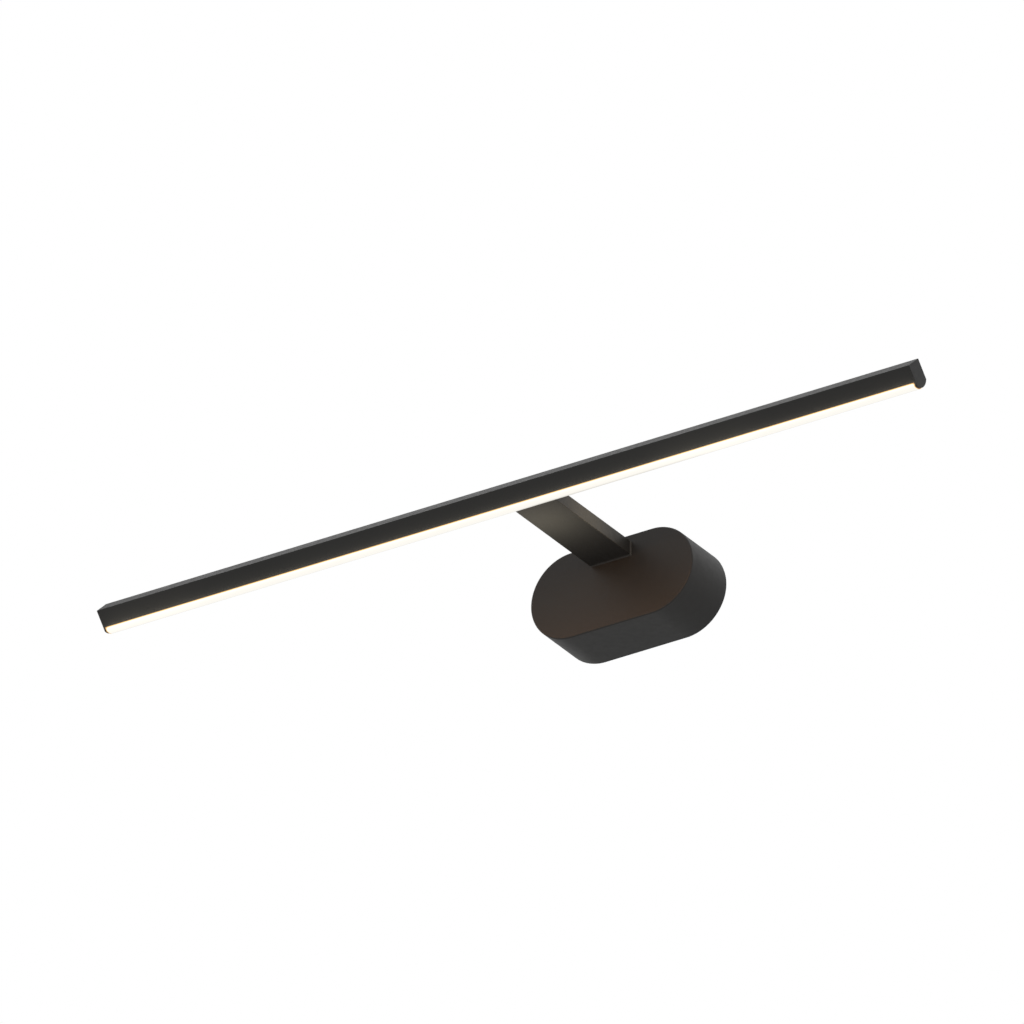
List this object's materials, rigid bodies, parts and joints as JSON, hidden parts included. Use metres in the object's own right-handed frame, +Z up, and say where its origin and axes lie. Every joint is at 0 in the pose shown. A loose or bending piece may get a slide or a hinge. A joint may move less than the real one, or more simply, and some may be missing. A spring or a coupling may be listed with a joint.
{
  "type": "vanity light bar",
  "caption": "Wall-mounted vanity light bar: racetrack canopy with the driver inside, flat arm, and a slim linear LED bar that tilts on a friction hinge.",
  "frame": {"origin": "on the wall plane, behind the centre of the canopy and midway between the two wall slots", "axes": "+X along the light bar, to the right as seen from the room; +Y into the wall; +Z up. The lamp stands out of the wall towards -Y."},
  "size_m": [0.6026, 0.166, 0.06],
  "materials": {
    "black_coat": "matte fine-textured powder coat",
    "black_cast": "matte fine-textured black powder coat",
    "black_screw": "satin, blackened",
    "opal": "opal acrylic, satin",
    "zinc_steel": "zinc plated",
    "seal_foam": "closed-cell foam",
    "foot_seal": "smooth, matte",
    "black_rubber": "matte",
    "terminal_white": "smooth",
    "brass": "turned",
    "wire_brown": "smooth",
    "wire_blue": "smooth",
    "wire_earth": "green with a yellow stripe",
    "lead_black": "flexible sheath",
    "driver_plastic": "moulded",
    "board_green": "solder mask",
    "ferrite": "sintered",
    "coil_tape": "taped",
    "copper_wire": "enamelled wire",
    "can_black": "sleeved",
    "chip_black": "moulded",
    "tape_grey": "thermal tape",
    "board_white": "white solder mask",
    "led_yellow": "phosphor",
    "friction_pad": "friction lining"
  },
  "bodies": {
    "wall_unit": {"canopy_cover": "black_cast", "wall_seal": "seal_foam", "wall_bracket": "zinc_steel", "cable_grommet": "black_rubber", "cover_screws": "black_screw", "bracket_earth_screw": "brass", "bracket_earth_washer": "zinc_steel", "terminal_block": "terminal_white", "terminal_clamps": "brass", "terminal_screws": "zinc_steel", "block_screws": "zinc_steel", "live_wire": "wire_brown", "neutral_wire": "wire_blue", "earth_wire": "wire_earth", "earth_lug": "brass", "canopy_earth_screw": "zinc_steel", "driver_case": "driver_plastic", "driver_lid": "driver_plastic", "driver_board": "board_green", "driver_transformer": "ferrite", "driver_winding": "coil_tape", "driver_capacitors": "can_black", "driver_choke": "copper_wire", "driver_chips": "chip_black", "driver_screws": "zinc_steel", "cable_bush": "black_rubber", "arm_foot_seal": "foot_seal", "arm_tube": "black_coat", "arm_anchor": "zinc_steel", "arm_screws": "zinc_steel", "arm_washers": "zinc_steel", "anchor_screws": "black_screw", "hinge_fork": "black_coat", "fork_screws": "black_screw", "lead_in_arm": "lead_black", "lead_at_hinge": "lead_black"},
    "light_bar": {"hinge_bracket": "black_coat", "bracket_screws": "black_screw", "bar_grommet": "black_rubber", "nut_plate": "zinc_steel", "pivot_screws": "black_screw", "pivot_nuts": "zinc_steel", "friction_washers": "friction_pad", "bar_profile": "black_cast", "thermal_tape": "tape_grey", "led_board": "board_white", "led_chips": "led_yellow", "diffuser": "opal", "end_cap_right": "black_cast", "end_cap_left": "black_cast", "lead_in_bar": "lead_black", "led_cores": "wire_brown"}
  },
  "joints": [
    {"name": "bar_tilt", "type": "hinge", "parent": "wall_unit", "child": "light_bar", "pos_m": [0, -0.1454, 0.02], "axis": [1, 0, 0], "range_deg": [-87, 48], "deforming": ["lead_at_hinge"]}
  ]
}
